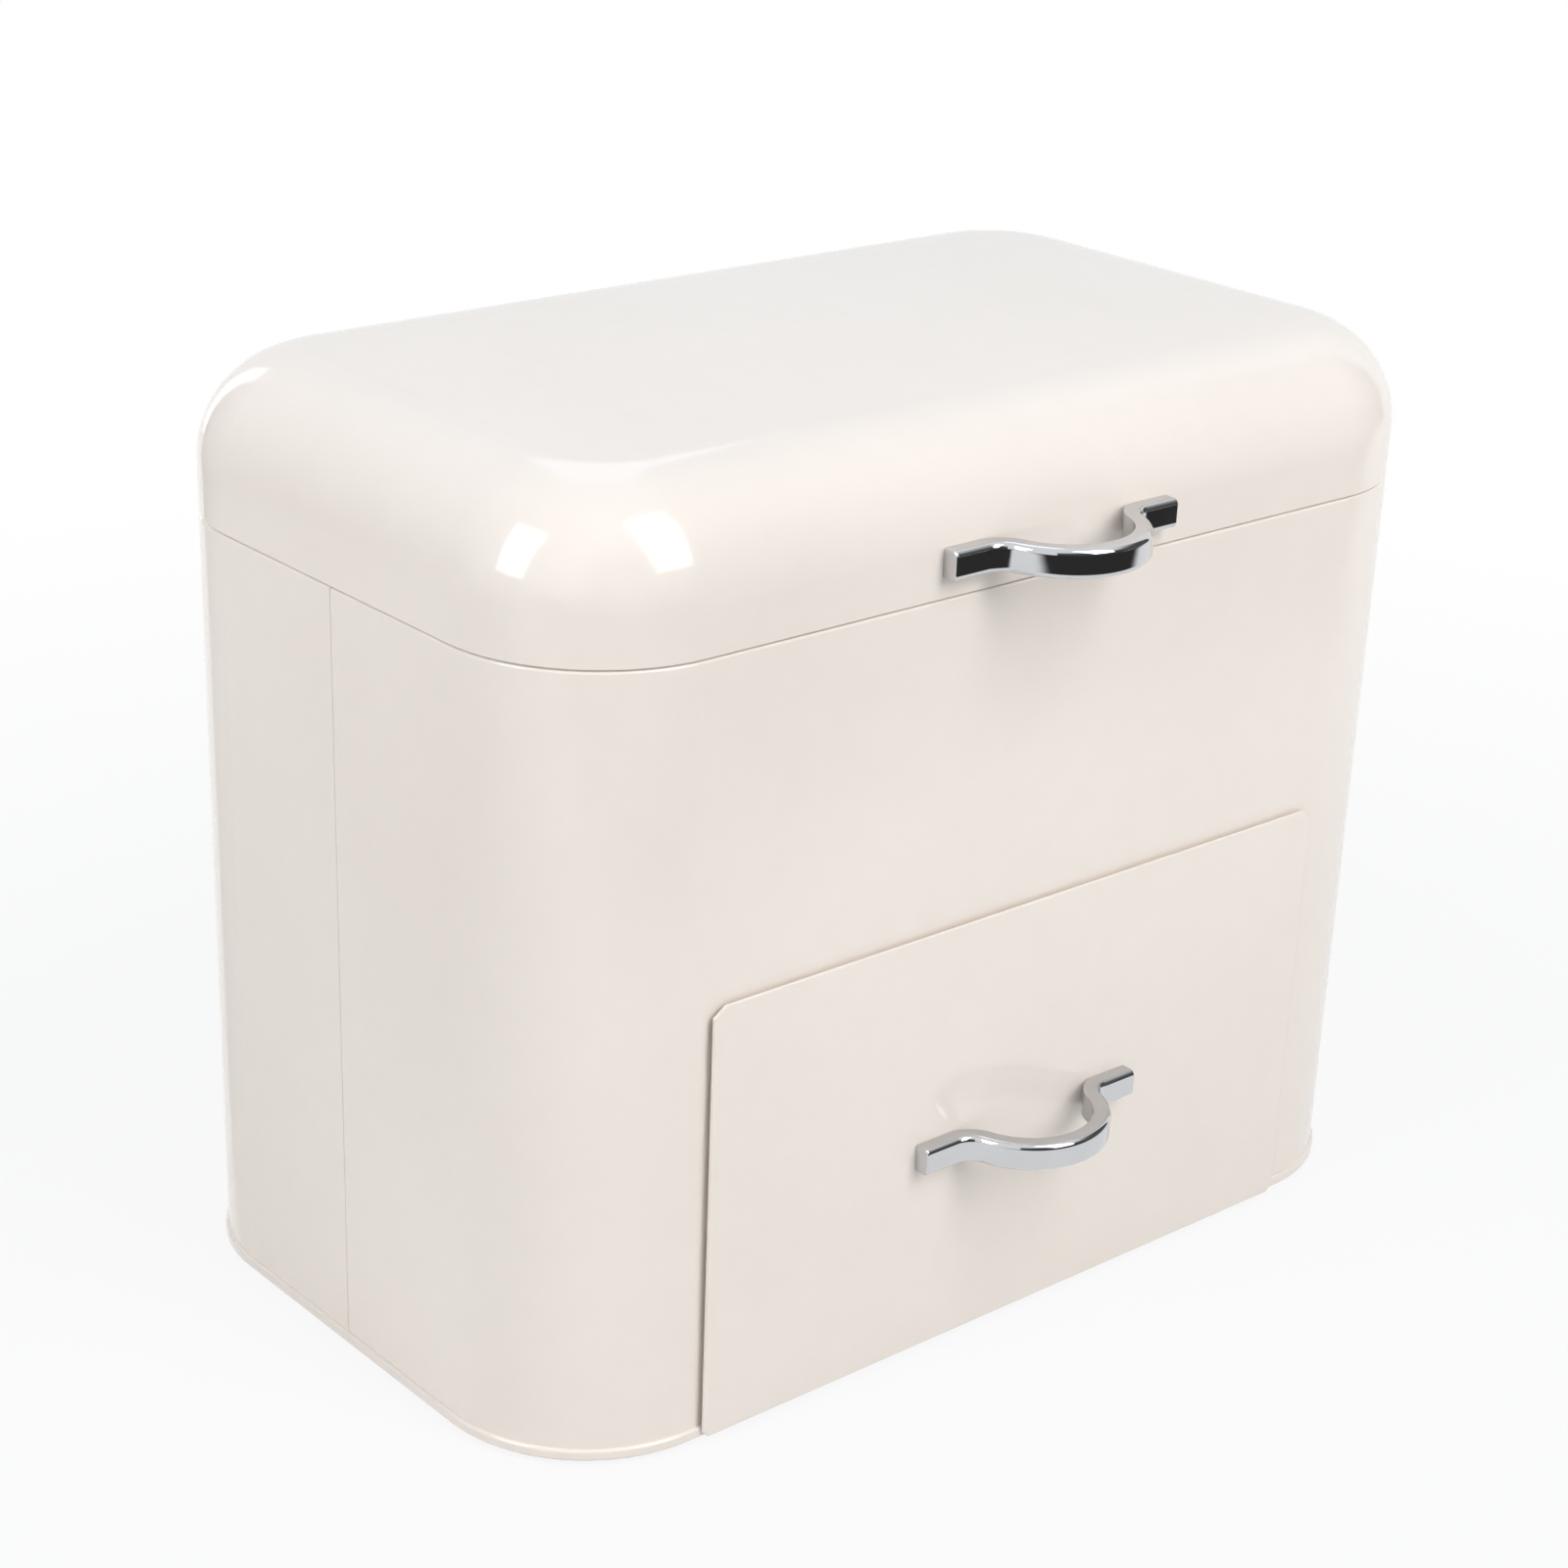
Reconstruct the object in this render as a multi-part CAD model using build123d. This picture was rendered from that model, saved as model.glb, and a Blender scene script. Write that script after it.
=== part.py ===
from build123d import *
import os
from math import atan2, cos, degrees, radians, sin, sqrt

# Bread box with a hinged lid above a bread compartment and a drawer below it.
# Millimetres, +Z up, +X to the right, the front faces -Y.
# Everything is modelled about the middle of the box's footprint with the floor at z = 0,
# and moved in Y on export, so that the origin is the bottom centre of the whole object.

# ---------------------------------------------------------------- driving dimensions
width = 340.0                  # outside of the walls, left to right
depth = 202.0                  # outside of the walls, front to back
overall_height = 281.5         # floor to the top of the lid
corner_radius = 47.0           # upright corners, seen from above
sheet = 0.6                    # steel sheet with its enamel
weld_gap = 0.05                # between spot-welded sheets that follow each other round a corner

foot_stand = 1.5               # how far the rubber feet lift the rim bead off the floor
foot_radius = 7.0
foot_inset = 42.0              # foot centre in from the walls
foot_edge = 0.6                # rounded lower edge of a foot

bead_height = 3.5              # rolled seam round the bottom
bead_out = 1.0                 # how far it stands out of the wall
bead_in = 1.5                  # how far it reaches inside the wall's outer face
bead_round = 0.9
base_recess = 3.0              # base plate above the bead's lower edge
base_flange = 5.5              # upturned edge of the base plate, inside the wall

shoulder_radius = 0.9          # rounded edge that the lid sits on
neck_inset = 1.0               # neck in from the outer face, so that the lid slips over it
neck_height = 5.5
neck_hem = 4.5                 # height of the folded safe edge inside the neck
hem_round = 0.4

side_seam_gap = 0.3            # fine line where front and back wrap meet
strap_width = 16.0             # strip welded behind that line
strap_gap = 0.4                # room left for the strip in the base and the bread floor

lid_gap = 0.4                  # line between lid and shoulder
lid_skirt = 15.0               # upright part of the lid, seam to the start of the curve
lid_edge_radius = 31.0         # drawn radius round the lid's top
lid_lip_round = 0.25

floor_height = 132.0           # top of the bread compartment's floor
floor_flange = 10.0            # its upturned edge
bend_radius = 1.5              # pressed bend round the tray's bottom

vent_radius = 2.0
vent_spacing = 12.0
vent_columns = 9
vent_rows = 2
vent_drop = 29.5               # middle of the vent pattern below the seam

panel_half_width = 119.0       # drawer front
panel_bottom = 1.7
panel_top = 137.0
panel_gap = 1.2                # between the wall and the back of the drawer front
hem_width = 7.5                # folded edge round the drawer front
hem_clearance = 0.1            # inside the fold
panel_clip_x = 4.2             # clipped upper corners, where the hems meet
panel_clip_z = 3.0
panel_low_clip = 2.0           # clipped lower corners
panel_round = 0.55             # rolled edge of the hem

opening_overlap = 8.0          # drawer front past the opening in the wall, sides and top
sill_height = 5.5              # wall left under the drawer opening, above the bead

tray_side_room = 2.0           # tray to the edge of the opening, each side
tray_depth = 185.0
tray_rise = 1.5                # tray bottom above the sill
tray_top_room = 4.8            # tray's upper edge below the top of the opening
tray_corner = 3.0
tray_hem = 6.0

runner_clearance = 0.3         # tray bottom above the runner's ledge
runner_side_clearance = 0.5
runner_ledge = 5.2             # width of the ledge that carries the tray
runner_foot = 9.0
runner_guide = 19.0            # height of the upright that guides the tray's side
runner_front_room = 2.0        # runner behind the front wall
runner_back_room = 14.0        # runner in front of the back wall

drawer_travel = 150.0
stop_gap = 0.3                 # left between stop lug and wall at full travel
lug_sheet = 1.0
lug_length = 12.0
lug_height = 28.0
lug_reach = 7.0                # how far a lug stands out of the tray's side
lug_middle = 74.0              # height of the lugs' middle

handle_length = 87.0
handle_projection = 28.5       # front of the bow from the face it is screwed to
handle_thickness = 5.6
handle_height = 9.6            # strap width, up and down
handle_bow_radius = 27.2       # centre line of the bow
handle_bend_radius = 7.8       # centre line of the bend into each foot
handle_round = 1.7             # long edges of the outer face
handle_end_round = 0.6         # edges round each foot's end
handle_hole_spacing = 76.0
lid_handle_rise = 10.8         # middle of the lid's handle above the seam
drawer_handle_height = 67.1    # middle of the drawer's handle above the floor

screw_radius = 2.0             # M4
screw_hole_clearance = 0.2
thread_clearance = 0.03
screw_bite = 3.8               # length of screw in the handle's foot
screw_hole_spare = 0.4         # bottom of the tapped hole past the screw's end
screw_head_radius = 3.6
screw_head_height = 2.3
screw_head_round = 0.8
driver_slot_width = 0.9
driver_slot_length = 4.4
driver_slot_depth = 1.1
washer_radius = 4.4
washer_thickness = 0.8

hinge_x = 95.0                 # middle of each hinge
leaf_width = 32.0
leaf_height = 16.0             # each leaf, from the axis
leaf_sheet = 1.0
leaf_corner = 3.0
knuckle_radius = 2.25
knuckle_off_wall = 0.15
knuckle_side_gap = 0.2
knuckle_top_gap = 0.3
pin_radius = 1.25
pin_clearance = 0.05
pin_head_radius = 1.9
pin_head_height = 0.8
lid_open_angle = 105.0
stop_lip_clearance = 0.1       # left between stop lip and leaf with the lid open
rivet_radius = 1.6
rivet_hole_clearance = 0.05
rivet_head_radius = 3.0
rivet_head_height = 1.3
rivet_tail_radius = 2.6
rivet_tail_height = 0.8
rivet_drop = 11.0              # rivets from the hinge axis
rivet_half_spacing = 9.0

# ---------------------------------------------------------------- sizes that follow
front_y = -depth / 2
back_y = depth / 2
bead_top = foot_stand + bead_height
base_under = foot_stand + base_recess
base_top = base_under + sheet
seam_height = overall_height - lid_edge_radius - lid_skirt    # where the lid meets the body
neck_top = seam_height + neck_height
lid_bottom = seam_height + lid_gap
floor_under = floor_height - sheet

hem_layers = 2 * sheet + hem_clearance
panel_back_y = front_y - panel_gap
panel_front_y = panel_back_y - hem_layers
panel_sheet_back_y = panel_front_y + sheet

opening_half_width = panel_half_width - opening_overlap
opening_bottom = bead_top + sill_height
opening_top = panel_top - opening_overlap

tray_half_width = opening_half_width - tray_side_room
tray_bottom = opening_bottom + tray_rise
tray_top = opening_top - tray_top_room
tray_front_y = panel_sheet_back_y
tray_back_y = tray_front_y + tray_depth

lid_handle_z = seam_height + lid_handle_rise
screw_x = handle_hole_spacing / 2

axis_out = knuckle_off_wall + knuckle_radius      # hinge axis behind the back wall
axis_y = back_y + axis_out
axis_z = seam_height + lid_gap / 2
knuckle_width = leaf_width / 3
stop_lip_reach = (axis_out - leaf_sheet - stop_lip_clearance) / sin(radians(lid_open_angle - 90))

front_reach = -panel_front_y + handle_projection
back_reach = axis_y + max(stop_lip_reach, knuckle_radius)
centre_shift = (front_reach - back_reach) / 2

FAR = 2 * (width + depth + overall_height)        # larger than the object, for cutting halves


# ---------------------------------------------------------------- shared shapes
def block(x0, x1, y0, y1, z0, z1):
    """A box between two corners."""
    return Pos((x0 + x1) / 2, (y0 + y1) / 2, (z0 + z1) / 2) * Box(x1 - x0, y1 - y0, z1 - z0)


def footprint(inset, z0, z1):
    """The box's plan, its edge moved inwards by inset, as a solid between two heights."""
    plan = RectangleRounded(width - 2 * inset, depth - 2 * inset, corner_radius - inset)
    return extrude(Plane.XY.offset(z0) * plan, z1 - z0)


def ring(outer_inset, inner_inset, z0, z1):
    """A wall that follows the plan, between two insets and two heights."""
    return footprint(outer_inset, z0, z1) - footprint(inner_inset, z0, z1)


def rod(axis, centre, radius, start, end):
    """A round bar along X, Y or Z. centre gives its place, start and end its span along the axis."""
    along, turn = {
        "X": (Vector(1, 0, 0), Rot(0, 90, 0)),
        "Y": (Vector(0, 1, 0), Rot(-90, 0, 0)),
        "Z": (Vector(0, 0, 1), Rot(0, 0, 0)),
    }[axis]
    middle = Vector(*centre) + along * ((start + end) / 2)
    return Location(middle) * turn * Cylinder(radius, end - start)


def edges_at(shape, z):
    """Edges that lie flat at one height."""
    return shape.edges().filter_by(lambda e: abs(e.bounding_box().min.Z - z) < 1e-4
                                   and abs(e.bounding_box().max.Z - z) < 1e-4)


def loop_at(shape, z, inset):
    """The edges at one height that follow the plan at one inset."""
    half_x, half_y = width / 2 - inset, depth / 2 - inset
    corner = corner_radius - inset

    def follows(edge):
        p = edge.position_at(0.5)
        if abs(abs(p.X) - half_x) < 1e-3 or abs(abs(p.Y) - half_y) < 1e-3:
            return True
        dx, dy = abs(p.X) - (half_x - corner), abs(p.Y) - (half_y - corner)
        return dx > 0 and dy > 0 and abs(sqrt(dx * dx + dy * dy) - corner) < 1e-3

    return edges_at(shape, z).filter_by(follows)


def both_sides(make):
    """The same piece at +X and -X, as one group of solids."""
    return Compound(children=[make(1), make(-1)])


# ---------------------------------------------------------------- body
def body_shell():
    """Wall, shoulder, neck and safe edge as one ring, before it is parted at the side seams."""
    wall = ring(0, sheet, bead_top, seam_height)
    ledge = ring(0, neck_inset + sheet, seam_height - sheet, seam_height)
    neck = ring(neck_inset, neck_inset + sheet, seam_height - sheet, neck_top)
    hem = ring(neck_inset, neck_inset + 2 * sheet, neck_top - neck_hem, neck_top)
    shell = wall + ledge + neck + hem
    shell = fillet(loop_at(shell, seam_height, 0), shoulder_radius)
    shell = fillet(loop_at(shell, neck_top, neck_inset)
                   + loop_at(shell, neck_top, neck_inset + 2 * sheet), hem_round)
    return shell


def vents():
    """Round air holes through the back wall, above the bread floor."""
    rods = []
    for row in range(vent_rows):
        z = seam_height - vent_drop + (row - (vent_rows - 1) / 2) * vent_spacing
        for column in range(vent_columns):
            x = (column - (vent_columns - 1) / 2) * vent_spacing
            rods.append(rod("Y", (x, 0, z), vent_radius, back_y - 5 * sheet, back_y + sheet))
    return rods


def rivet_places(side, height):
    """The two rivets of one leaf: (x, z)."""
    middle = side * hinge_x
    return [(middle - rivet_half_spacing, height), (middle + rivet_half_spacing, height)]


def rivet_holes(height):
    """Holes for the hinge rivets through leaf and wall, both hinges."""
    radius = rivet_radius + rivet_hole_clearance
    return [rod("Y", (x, 0, z), radius, back_y - 5 * sheet, back_y + 2 * leaf_sheet)
            for side in (1, -1) for x, z in rivet_places(side, height)]


def body_front_wrap(shell):
    """Front half of the wall, with the drawer opening."""
    half = shell & block(-FAR, FAR, -FAR, -side_seam_gap / 2, -FAR, FAR)
    opening = block(-opening_half_width, opening_half_width, front_y - sheet, front_y + 3 * sheet,
                    opening_bottom, opening_top)
    return half - opening


def body_back_wrap(shell):
    """Back half of the wall, with vents and rivet holes."""
    half = shell & block(-FAR, FAR, side_seam_gap / 2, FAR, -FAR, FAR)
    return half - vents() - rivet_holes(axis_z - rivet_drop)


def seam_strap(side, room=0.0):
    """Strip behind a side seam. room widens it, to cut notches for it."""
    outer = width / 2 - sheet
    inner = outer - sheet - room
    half = strap_width / 2 + room
    lowest, highest = (base_top, seam_height - sheet - weld_gap) if room == 0 else (0, seam_height)
    return block(*sorted((side * inner, side * (outer + room))), -half, half, lowest, highest)


def strap_notches():
    return [seam_strap(side, strap_gap) for side in (1, -1)]


def base_pan():
    """Base plate with its upturned flange, and the rolled bead that grips the wall's lower edge."""
    bead = ring(-bead_out, bead_in, foot_stand, bead_top)
    bead = fillet(loop_at(bead, foot_stand, -bead_out) + loop_at(bead, bead_top, -bead_out)
                  + loop_at(bead, foot_stand, bead_in), bead_round)
    plate = footprint(bead_in - bead_round / 2, base_under, base_top)
    outer = sheet + weld_gap
    flange = ring(outer, outer + sheet, bead_top - sheet, base_top + base_flange - sheet)
    notches = [notch & block(-FAR, FAR, -FAR, FAR, base_top, FAR) for notch in strap_notches()]
    return bead + plate + flange - notches


def bread_floor():
    """Floor of the bread compartment: a flat plate with an edge turned up against the wall."""
    outer = sheet + weld_gap
    pan = footprint(outer, floor_under, floor_height)
    pan += ring(outer, outer + sheet, floor_under, floor_height + floor_flange)
    pan = fillet(loop_at(pan, floor_under, outer), sheet)
    return pan - strap_notches()


def drawer_runner(side):
    """Bent rail on the base: foot, riser, ledge under the tray and upright beside it."""
    ledge_top = tray_bottom - runner_clearance
    guide_in = tray_half_width + runner_side_clearance
    guide_out = guide_in + sheet
    riser_out = guide_out - runner_ledge
    riser_in = riser_out - sheet
    y0 = front_y + sheet + runner_front_room
    y1 = back_y - sheet - runner_back_room
    spans = [
        (riser_in - runner_foot, riser_out, base_top, base_top + sheet),
        (riser_in, riser_out, base_top, ledge_top),
        (riser_in, guide_out, ledge_top - sheet, ledge_top),
        (guide_in, guide_out, ledge_top - sheet, ledge_top + runner_guide),
    ]
    rail = Part()
    for x0, x1, z0, z1 in spans:
        rail += block(*sorted((side * x0, side * x1)), y0, y1, z0, z1)
    return rail


def rubber_foot(side_x, side_y):
    x = side_x * (width / 2 - foot_inset)
    y = side_y * (depth / 2 - foot_inset)
    foot = rod("Z", (x, y, 0), foot_radius, 0, base_under)
    return fillet(edges_at(foot, 0), foot_edge)


def rubber_feet():
    return Compound(children=[rubber_foot(sx, sy) for sx in (1, -1) for sy in (1, -1)])


# ---------------------------------------------------------------- hinges
def knuckle(x0, x1):
    """A length of knuckle round the hinge axis, without its bore."""
    return rod("X", (0, axis_y, axis_z), knuckle_radius, x0, x1)


def hinge_leaf(side, up):
    """Leaf plate on the back face: up is 1 for the lid's leaf and -1 for the body's."""
    middle = side * hinge_x
    half = leaf_width / 2
    near = axis_z + up * (knuckle_radius + knuckle_top_gap)
    far = axis_z + up * leaf_height
    plate = block(middle - half, middle + half, back_y, back_y + leaf_sheet, *sorted((near, far)))
    plate = fillet(edges_at(plate, far).filter_by(Axis.Y), leaf_corner)
    if up > 0:
        spans = [(middle - knuckle_width / 2, middle + knuckle_width / 2)]
    else:
        spans = [(middle - half, middle - knuckle_width / 2 - knuckle_side_gap),
                 (middle + knuckle_width / 2 + knuckle_side_gap, middle + half)]
    for x0, x1 in spans:
        plate += knuckle(x0, x1)
        plate += block(x0, x1, back_y, back_y + leaf_sheet, *sorted((axis_z, near)))
    if up > 0:
        x0, x1 = spans[0]
        plate += block(x0, x1, axis_y, axis_y + stop_lip_reach, axis_z, axis_z + leaf_sheet)
    plate -= rod("X", (middle, axis_y, axis_z), pin_radius + pin_clearance, -half - 1, half + 1)
    return plate - rivet_holes(axis_z + up * rivet_drop)


def hinge_pin(side):
    middle = side * hinge_x
    half = leaf_width / 2
    pin = rod("X", (middle, axis_y, axis_z), pin_radius, -half, half)
    for x0, x1 in ((-half - pin_head_height, -half), (half, half + pin_head_height)):
        pin += rod("X", (middle, axis_y, axis_z), pin_head_radius, x0, x1)
    return pin


def rivet(x, z):
    """Domed head outside the leaf, flattened tail inside the wall."""
    outside = back_y + leaf_sheet
    inside = back_y - sheet
    head = rod("Y", (x, 0, z), rivet_head_radius, outside, outside + rivet_head_height)
    crown = head.edges().filter_by(GeomType.CIRCLE).sort_by(Axis.Y)[-1]
    head = fillet(crown, rivet_head_height * 0.8)
    shank = rod("Y", (x, 0, z), rivet_radius, inside, outside)
    tail = rod("Y", (x, 0, z), rivet_tail_radius, inside - rivet_tail_height, inside)
    return head + shank + tail


def rivets(height):
    return Compound(children=[rivet(x, z) for side in (1, -1)
                              for x, z in rivet_places(side, height)])


# ---------------------------------------------------------------- lid
def lid_blank(inset, top, bottom, edge):
    """Solid lid form, its top edge rounded all the way round."""
    form = footprint(inset, bottom, top)
    return fillet(edges_at(form, top), edge)


def lid_shell():
    outside = lid_blank(0, overall_height, lid_bottom, lid_edge_radius)
    inside = lid_blank(sheet, overall_height - sheet, lid_bottom - sheet, lid_edge_radius - sheet)
    shell = outside - inside
    shell = fillet(loop_at(shell, lid_bottom, 0), lid_lip_round)
    holes = [rod("Y", (sx * screw_x, 0, lid_handle_z), screw_radius + screw_hole_clearance,
                 front_y - sheet, front_y + 2 * sheet) for sx in (1, -1)]
    return shell - holes - rivet_holes(axis_z + rivet_drop)


# ---------------------------------------------------------------- handles
def bow_outline():
    """Plan of a handle: x along it, y out from the face it is screwed to."""
    half = handle_length / 2
    t = handle_thickness
    bow_middle = (0.0, handle_projection - t / 2 - handle_bow_radius)
    bend_y = t / 2 + handle_bend_radius
    reach = handle_bow_radius + handle_bend_radius
    bend_x = sqrt(reach ** 2 - (bend_y - bow_middle[1]) ** 2)
    bend_middle = (bend_x, bend_y)
    turn = degrees(atan2(bend_y - bow_middle[1], bend_x))   # direction from bow middle to bend middle

    def at(middle, radius, angle):
        return (middle[0] + radius * cos(radians(angle)), middle[1] + radius * sin(radians(angle)))

    def mirror_x(p):
        return (-p[0], p[1])

    def side(bow_radius, bend_radius, y):
        """Half of one long edge: crown, meeting of bow and bend, end of the bend, foot's end."""
        meet = at(bow_middle, bow_radius, turn)
        bend_mid = at(bend_middle, bend_radius, (180 + turn + 270) / 2)
        return meet, bend_mid, (bend_x, y), (half, y), at(bow_middle, bow_radius, 90)

    outer = side(handle_bow_radius + t / 2, handle_bend_radius - t / 2, t)
    inner = side(handle_bow_radius - t / 2, handle_bend_radius + t / 2, 0.0)
    lines = []
    for meet, bend_mid, bend_end, foot_end, crown in (outer, inner):
        lines.append(ThreePointArc(mirror_x(meet), crown, meet))
        for m in (lambda p: p, mirror_x):
            lines.append(ThreePointArc(m(meet), m(bend_mid), m(bend_end)))
            lines.append(Line(m(bend_end), m(foot_end)))
    for m in (lambda p: p, mirror_x):
        lines.append(Line(m(outer[3]), m(inner[3])))
    return make_face(lines)


def handle(face_y, middle_z):
    """Bow handle on a face that looks towards -Y, with a tapped hole in each foot."""
    low, high = middle_z - handle_height / 2, middle_z + handle_height / 2
    outer_radii = (handle_bow_radius + handle_thickness / 2, handle_bend_radius - handle_thickness / 2)

    def on_outer_face(edge):
        if edge.geom_type == GeomType.CIRCLE:
            return any(abs(edge.radius - r) < 1e-3 for r in outer_radii)
        return abs(edge.center().Y - (face_y - handle_thickness)) < 1e-3

    def on_foot_end(edge):
        middle = edge.center()
        return abs(abs(middle.X) - handle_length / 2) < 1e-3 and middle.Y < face_y - 1e-3

    plan = Plane((0, face_y, low), x_dir=(-1, 0, 0), z_dir=(0, 0, 1))
    bow = extrude(plan * bow_outline(), handle_height)
    bow = fillet((edges_at(bow, low) + edges_at(bow, high)).filter_by(on_outer_face), handle_round)
    bow = fillet(bow.edges().filter_by(on_foot_end), handle_end_round)
    depth_in = screw_bite + screw_hole_spare
    holes = [rod("Y", (sx * screw_x, 0, middle_z), screw_radius + thread_clearance,
                 face_y - depth_in, face_y) for sx in (1, -1)]
    return bow - holes


def handle_washer(sx, inner_y, z):
    outer = rod("Y", (sx * screw_x, 0, z), washer_radius, inner_y, inner_y + washer_thickness)
    return outer - rod("Y", (sx * screw_x, 0, z), screw_radius + screw_hole_clearance,
                       inner_y, inner_y + washer_thickness)


def handle_screw(sx, face_y, inner_y, z):
    """Pan-head screw from inside: inner_y is the face under the washer, face_y the handle's seat."""
    under_head = inner_y + washer_thickness
    head_end = under_head + screw_head_height
    head = rod("Y", (sx * screw_x, 0, z), screw_head_radius, under_head, head_end)
    crown = head.edges().filter_by(GeomType.CIRCLE).sort_by(Axis.Y)[-1]
    head = fillet(crown, screw_head_round)
    for w, h in ((driver_slot_width, driver_slot_length), (driver_slot_length, driver_slot_width)):
        x = sx * screw_x
        head -= block(x - w / 2, x + w / 2, head_end - driver_slot_depth, head_end + 1,
                      z - h / 2, z + h / 2)
    return head + rod("Y", (sx * screw_x, 0, z), screw_radius, face_y - screw_bite, under_head)


# ---------------------------------------------------------------- drawer
def panel_outline():
    """Outline of the drawer front with clipped corners, x across and y up."""
    x, low, high = panel_half_width, panel_bottom, panel_top
    right = [(x - panel_low_clip, low), (x, low + panel_low_clip),
             (x, high - panel_clip_z), (x - panel_clip_x, high)]
    left = [(-px, pz) for px, pz in reversed(right)]
    return Polygon(*right, *left, align=None)


def drawer_front():
    """Flat sheet with its edges folded back on themselves, and holes for the handle."""
    upright = Plane((0, panel_back_y, 0), x_dir=(1, 0, 0), z_dir=(0, -1, 0))
    plate = extrude(upright * panel_outline(), hem_layers)
    rim = plate.faces().sort_by(Axis.Y)[0].edges() + plate.faces().sort_by(Axis.Y)[-1].edges()
    plate = fillet(rim, panel_round)
    inner_x = panel_half_width - hem_width
    plate -= block(-inner_x, inner_x, panel_sheet_back_y, panel_back_y,
                   panel_bottom + hem_width, panel_top - hem_width)
    holes = [rod("Y", (sx * screw_x, 0, drawer_handle_height), screw_radius + screw_hole_clearance,
                 panel_front_y - 1, panel_back_y + 1) for sx in (1, -1)]
    return plate - holes


def drawer_tray():
    """Folded pan that runs through the opening, its front wall welded to the drawer front."""
    middle_y = (tray_front_y + tray_back_y) / 2

    def pan(inset, z0, z1):
        plan = RectangleRounded(2 * (tray_half_width - inset), tray_depth - 2 * inset,
                                tray_corner - inset)
        return extrude(Plane((0, middle_y, z0)) * plan, z1 - z0)

    tray = pan(0, tray_bottom, tray_top)
    tray = fillet(edges_at(tray, tray_bottom), bend_radius)
    hollow = pan(sheet, tray_bottom + sheet, tray_top - tray_hem)
    tray -= fillet(edges_at(hollow, tray_bottom + sheet), bend_radius - sheet)
    tray -= pan(2 * sheet, tray_top - tray_hem, tray_top)
    holes = [rod("Y", (sx * screw_x, 0, drawer_handle_height), screw_radius + screw_hole_clearance,
                 tray_front_y - 1, tray_front_y + 2 * sheet) for sx in (1, -1)]
    return tray - holes


def drawer_stop(side):
    """Lug on the tray's side that meets the inside of the front wall at full travel."""
    y0 = front_y + sheet + drawer_travel + stop_gap
    z0, z1 = lug_middle - lug_height / 2, lug_middle + lug_height / 2
    x0 = tray_half_width
    plate = block(*sorted((side * x0, side * (x0 + lug_sheet))), y0, y0 + lug_length, z0, z1)
    ear = block(*sorted((side * x0, side * (x0 + lug_reach))), y0, y0 + lug_sheet, z0, z1)
    return plate + ear


# ---------------------------------------------------------------- export
def all_parts():
    shell = body_shell()
    lid_inner_y = front_y + sheet
    tray_inner_y = tray_front_y + sheet
    parts = {
        "body_front_wrap": body_front_wrap(shell),
        "body_back_wrap": body_back_wrap(shell),
        "base_pan": base_pan(),
        "bread_floor": bread_floor(),
        "rubber_feet": rubber_feet(),
        "hinge_body_rivets": rivets(axis_z - rivet_drop),
        "hinge_lid_rivets": rivets(axis_z + rivet_drop),
        "lid_shell": lid_shell(),
        "lid_handle": handle(front_y, lid_handle_z),
        "lid_handle_washers": both_sides(lambda s: handle_washer(s, lid_inner_y, lid_handle_z)),
        "lid_handle_screws": both_sides(
            lambda s: handle_screw(s, front_y, lid_inner_y, lid_handle_z)),
        "drawer_front": drawer_front(),
        "drawer_tray": drawer_tray(),
        "drawer_stops": both_sides(drawer_stop),
        "drawer_handle": handle(panel_front_y, drawer_handle_height),
        "drawer_handle_washers": both_sides(
            lambda s: handle_washer(s, tray_inner_y, drawer_handle_height)),
        "drawer_handle_screws": both_sides(
            lambda s: handle_screw(s, panel_front_y, tray_inner_y, drawer_handle_height)),
    }
    for name, side in (("left", -1), ("right", 1)):
        parts[f"seam_strap_{name}"] = seam_strap(side)
        parts[f"drawer_runner_{name}"] = drawer_runner(side)
        parts[f"hinge_body_leaf_{name}"] = hinge_leaf(side, -1)
        parts[f"hinge_lid_leaf_{name}"] = hinge_leaf(side, 1)
        parts[f"hinge_pin_{name}"] = hinge_pin(side)
    return parts


os.makedirs("parts", exist_ok=True)
for node, shape in all_parts().items():
    export_step(Pos(0, centre_shift, 0) * shape, f"parts/{node}.step")
print("middle of the footprint lies at y =", round(centre_shift, 3))
print("hinge axis lies at y, z =", round(axis_y + centre_shift, 3), round(axis_z, 3))
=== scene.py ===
# %% [markdown]
# # A cream bread box with a drawer
# The real thing is a box of folded steel sheet, baked in a glossy cream
# enamel. A pressed lid with soft edges lifts over a bread compartment, and a
# drawer as wide as the flat of the front slides out below it. Each has a
# chromed bow handle. The shapes come from the CAD model and stay as they
# are, apart from the two handles, which are made anew below, and a trace of
# enamel in the seams. This script gives them their finishes, their light and
# a camera.

import math

import bmesh
import bpy
from mathutils import Matrix, Vector


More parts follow.
